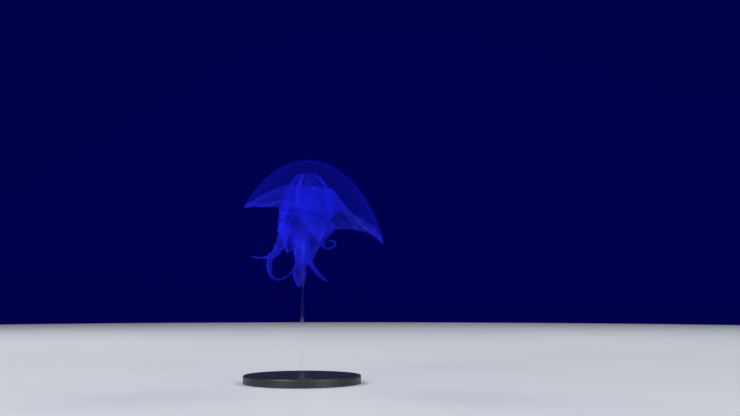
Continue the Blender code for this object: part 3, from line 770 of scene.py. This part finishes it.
def make_rhopalia(material):
    """A sense organ in each of the eight notches."""
    quilt = Quilt()
    for number in range(LOBES):
        angle = np.array([2.0 * math.pi * (number + 0.5) / LOBES])
        root = 0.5 * (outer_point(angle, 0.985) + wall_point(angle, 0.985))[0]
        share = np.linspace(-1.0, 1.0, 13)
        path = root + np.outer(share, (0.0, 0.0, -RHOPALIUM_REACH))
        round_end = np.sqrt(np.maximum(1.0 - share ** 2, 0.02))
        radius = RHOPALIUM_RADIUS * round_end * (1.0 + 0.25 * share)
        chart = (number / LOBES, 0.0, 0.11, 1.0)
        sew_tube(quilt, path, radius, 12, RHOPALIUM_MILK, chart, number)
    return quilt.finish("rhopalia", material)


# ---- Materials ------------------------------------------------------------------------
class Nodes:
    """A small helper for writing a material's node tree."""

    def __init__(self, material):
        material.use_nodes = True
        self.tree = material.node_tree
        self.tree.nodes.clear()
        self.output = self.add("OutputMaterial")

    def add(self, kind, **settings):
        node = self.tree.nodes.new("ShaderNode" + kind)
        for name, value in settings.items():
            setattr(node, name, value)
        return node

    def put(self, socket, value):
        if isinstance(value, bpy.types.NodeSocket):
            self.tree.links.new(value, socket)
        else:
            socket.default_value = value

    def attribute(self, name, output):
        return self.add("Attribute", attribute_name=name).outputs[output]

    def maths(self, operation, first, second):
        node = self.add("Math", operation=operation)
        self.put(node.inputs[0], first)
        self.put(node.inputs[1], second)
        return node.outputs[0]

    def noise(self, vector, scale, detail, stretch=None):
        if stretch is not None:
            mapping = self.add("Mapping")
            self.put(mapping.inputs["Vector"], vector)
            self.put(mapping.inputs["Scale"], stretch)
            vector = mapping.outputs[0]
        node = self.add("TexNoise")
        self.put(node.inputs["Vector"], vector)
        self.put(node.inputs["Scale"], scale)
        self.put(node.inputs["Detail"], detail)
        return node.outputs["Fac"]

    def ramp(self, value, low, high, to_low=0.0, to_high=1.0):
        node = self.add("MapRange")
        for name, given in (("Value", value), ("From Min", low), ("From Max", high),
                            ("To Min", to_low), ("To Max", to_high)):
            self.put(node.inputs[name], given)
        return node.outputs[0]

    def blend(self, factor, first, second):
        node = self.add("Mix", data_type="RGBA")
        self.put(node.inputs["Factor"], factor)
        self.put(node.inputs[6], (*first, 1.0))
        self.put(node.inputs[7], (*second, 1.0))
        return node.outputs[2]

    def bump(self, height, distance):
        node = self.add("Bump")
        self.put(node.inputs["Height"], height)
        self.put(node.inputs["Distance"], distance)
        self.put(node.inputs["Strength"], 1.0)
        return node.outputs["Normal"]

    def mix(self, factor, first, second):
        node = self.add("MixShader")
        self.put(node.inputs[0], factor)
        self.tree.links.new(first, node.inputs[1])
        self.tree.links.new(second, node.inputs[2])
        return node.outputs[0]


def tissue_material(name, dark, light, painted_glow, painted_volume_glow=0.0, relief=0.1 * MM):
    """Wet, see-through tissue; the milkiness attribute says how milky each place is. It also has a
    painted glow: its surface, and optionally its inside, give off light in the tissue's colour,
    though it is no lamp.
    """
    material = bpy.data.materials.new(name)
    nodes = Nodes(material)
    grain = nodes.attribute("grain", "Vector")
    place = nodes.add("TexCoord").outputs["Object"]
    fibres = nodes.noise(grain, 6.0, 3.0, (1.0, 1.0, 0.35))
    clouds = nodes.noise(place, 90.0, 3.0)
    specks = nodes.noise(place, 1400.0, 1.0)
    pattern = nodes.maths("ADD", nodes.ramp(fibres, 0.3, 0.7, -0.22, 0.22),
                          nodes.ramp(clouds, 0.3, 0.7, -0.2, 0.2))
    pattern = nodes.maths("ADD", pattern, nodes.ramp(specks, 0.62, 0.75, 0.0, 0.15))
    milk = nodes.maths("MULTIPLY", nodes.attribute("milkiness", "Fac"),
                       nodes.maths("ADD", pattern, 1.0))
    milk = nodes.maths("MINIMUM", nodes.maths("MAXIMUM", milk, 0.0), 0.95)
    colour = nodes.blend(nodes.ramp(nodes.maths("ADD", pattern, milk), 0.0, 0.85), dark, light)

    skin = nodes.add("BsdfPrincipled")
    nodes.put(skin.inputs["Base Color"], colour)
    nodes.put(skin.inputs["Roughness"], nodes.ramp(clouds, 0.3, 0.7, 0.34, 0.5))
    nodes.put(skin.inputs["IOR"], 1.34)
    nodes.put(skin.inputs["Specular IOR Level"], 0.1)
    nodes.put(skin.inputs["Normal"], nodes.bump(nodes.maths("ADD", fibres, specks), relief))
    # painted glow: the surface gives off light in its own colour, though the tissue is no lamp
    nodes.put(skin.inputs["Emission Color"], colour)
    nodes.put(skin.inputs["Emission Strength"], painted_glow)
    passing = nodes.add("BsdfTranslucent")
    nodes.put(passing.inputs["Color"], colour)
    lit = nodes.mix(0.4, skin.outputs[0], passing.outputs[0])
    clear = nodes.add("BsdfTransparent")
    surface = nodes.mix(milk, clear.outputs[0], lit)
    nodes.tree.links.new(surface, nodes.output.inputs["Surface"])
    if painted_volume_glow > 0.0:
        taken = nodes.add("VolumeAbsorption")
        nodes.put(taken.inputs["Color"], (0.05, 0.08, 1.0, 1.0))
        nodes.put(taken.inputs["Density"], 40.0)
        # painted glow: the inside of the tissue gives off blue light, though it is no lamp
        given = nodes.add("Emission")
        nodes.put(given.inputs["Color"], (*light, 1.0))
        nodes.put(given.inputs["Strength"], painted_volume_glow)
        both = nodes.add("AddShader")
        nodes.tree.links.new(taken.outputs[0], both.inputs[0])
        nodes.tree.links.new(given.outputs[0], both.inputs[1])
        nodes.tree.links.new(both.outputs[0], nodes.output.inputs["Volume"])
    return material


def solid_material(name, dark, light, roughness, scale, relief=0.02 * MM, gloss=0.5):
    """Paint or plaster with a fine grain."""
    material = bpy.data.materials.new(name)
    nodes = Nodes(material)
    place = nodes.add("TexCoord").outputs["Object"]
    grain = nodes.noise(place, scale, 4.0)
    clouds = nodes.noise(place, scale / 12.0, 3.0)
    shader = nodes.add("BsdfPrincipled")
    nodes.put(shader.inputs["Base Color"], nodes.blend(clouds, dark, light))
    nodes.put(shader.inputs["Specular IOR Level"], gloss)
    nodes.put(shader.inputs["Roughness"],
              nodes.ramp(grain, 0.3, 0.7, roughness - 0.08, roughness + 0.08))
    nodes.put(shader.inputs["Normal"], nodes.bump(grain, relief))
    nodes.tree.links.new(shader.outputs[0], nodes.output.inputs["Surface"])
    return material


def acrylic_material():
    """Clear acrylic with faint turning marks."""
    material = bpy.data.materials.new("clear acrylic")
    nodes = Nodes(material)
    place = nodes.add("TexCoord").outputs["Object"]
    marks = nodes.noise(place, 400.0, 3.0, (0.3, 0.3, 6.0))
    shader = nodes.add("BsdfPrincipled")
    nodes.put(shader.inputs["Base Color"], nodes.blend(marks, (0.93, 0.96, 1.0), (0.97, 0.99, 1.0)))
    nodes.put(shader.inputs["Transmission Weight"], 1.0)
    nodes.put(shader.inputs["Specular IOR Level"], 0.25)
    nodes.put(shader.inputs["IOR"], 1.49)
    nodes.put(shader.inputs["Roughness"], nodes.ramp(marks, 0.3, 0.7, 0.02, 0.08))
    nodes.put(shader.inputs["Normal"], nodes.bump(marks, 0.005 * MM))
    nodes.tree.links.new(shader.outputs[0], nodes.output.inputs["Surface"])
    return material


# ---- Stage ----------------------------------------------------------------------------
STUDIO_RADIUS = 1.9
STUDIO_HEIGHT = 2.2
HEART = (0.0, 0.0, 0.14)            # where the lamps point
CAMERA_PLACE = (0.0575, -0.88, 0.075)
CAMERA_LIFT = math.radians(4.8)     # how far it looks up


def make_stage():
    """A round pale floor and a dark wall round it."""
    floor_material = solid_material("pale floor", (0.46, 0.47, 0.50), (0.52, 0.53, 0.56), 0.8,
                                    scale=40.0, gloss=0.1)
    wall_material = solid_material("dark studio wall", (0.0003, 0.0005, 0.092),
                                   (0.0004, 0.0006, 0.108), 0.9, scale=6.0, gloss=0.0)
    sides = 96
    turns = 2.0 * math.pi * np.arange(sides) / sides
    ring = STUDIO_RADIUS * np.stack([np.cos(turns), np.sin(turns)], axis=-1)

    floor = bpy.data.meshes.new("floor")
    floor.from_pydata([(x, y, 0.0) for x, y in ring.tolist()], [], [list(range(sides))])
    floor.materials.append(floor_material)
    wall = bpy.data.meshes.new("wall")
    points = [(x, y, z) for z in (0.0, STUDIO_HEIGHT) for x, y in ring.tolist()]
    faces = [[(i + 1) % sides, i, i + sides, (i + 1) % sides + sides] for i in range(sides)]
    wall.from_pydata(points, [], faces)
    wall.materials.append(wall_material)
    wall.shade_smooth()
    for mesh in (floor, wall):
        item = bpy.data.objects.new(mesh.name, mesh)
        bpy.context.collection.objects.link(item)


def make_light(name, place, size, watts, gloss=True):
    lamp = bpy.data.lights.new(name, "AREA")
    lamp.shape = "DISK"
    lamp.size = size
    lamp.energy = watts
    item = bpy.data.objects.new(name, lamp)
    bpy.context.collection.objects.link(item)
    item.location = place
    item.rotation_euler = (Vector(HEART) - Vector(place)).to_track_quat("-Z", "Y").to_euler()
    item.visible_camera = False
    item.visible_glossy = gloss


def make_lights():
    make_light("key", (-0.8, -1.1, 0.7), 0.9, 19.0)
    make_light("fill", (1.0, -0.9, 0.5), 0.9, 12.0)
    make_light("left rim", (-0.9, 0.9, 1.1), 0.7, 13.0, gloss=False)
    make_light("right rim", (0.9, 1.0, 1.2), 0.7, 13.0, gloss=False)
    world = bpy.data.worlds.new("studio")
    world.use_nodes = True
    background = world.node_tree.nodes["Background"]
    background.inputs["Color"].default_value = (0.85, 0.9, 1.0, 1.0)
    background.inputs["Strength"].default_value = 0.42
    bpy.context.scene.world = world


def make_camera():
    lens = bpy.data.cameras.new("camera")
    lens.lens = 50.0
    lens.sensor_width = 36.0
    item = bpy.data.objects.new("camera", lens)
    bpy.context.collection.objects.link(item)
    item.location = CAMERA_PLACE
    item.rotation_euler = (math.radians(90.0) + CAMERA_LIFT, 0.0, 0.0)
    bpy.context.scene.camera = item


# ---- Assembly -------------------------------------------------------------------------
def main():
    nodes = frame["nodes"]
    # each tissue gets a painted glow on its surface, and the skin also a painted glow inside
    skin_tissue = tissue_material("jelly tissue with painted glow", (0.005, 0.008, 0.30), (0.022, 0.030, 1.0),
                                  painted_glow=0.2, painted_volume_glow=5.0)
    gonad_tissue = tissue_material("gonad tissue", (0.016, 0.022, 0.80), (0.026, 0.036, 1.0),
                                   painted_glow=0.3, relief=0.2 * MM)
    thread_tissue = tissue_material("canal and tentacle tissue with painted glow", (0.008, 0.012, 0.50),
                                    (0.022, 0.030, 1.0), painted_glow=0.2)
    skin = sew_skin(skin_tissue)
    flesh = [name for name in nodes if not name.startswith(("stand_", "gonad_"))]
    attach(skin, "root")
    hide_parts(*flesh)
    gonads = make_gonads(gonad_tissue)
    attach(gonads, "root")
    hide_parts(*[name for name in nodes if name.startswith("gonad_")])
    for piece, slot in ((make_canals(thread_tissue), "bell_jelly"),
                        (make_fringe(thread_tissue), "bell_jelly"),
                        (make_rhopalia(gonad_tissue), "gonad_tissue")):
        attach(piece, "root")

    paint = solid_material("satin black paint", (0.012, 0.012, 0.014), (0.02, 0.02, 0.023), 0.38,
                           scale=900.0, relief=0.01 * MM)
    for name, material in (("stand_base", paint), ("stand_rod", acrylic_material())):
        nodes[name].data.materials.clear()
        nodes[name].data.materials.append(material)

    make_stage()
    make_lights()
    make_camera()
    scene = bpy.context.scene
    scene.view_settings.view_transform = "Standard"
    scene.cycles.transparent_max_bounces = 64


main()
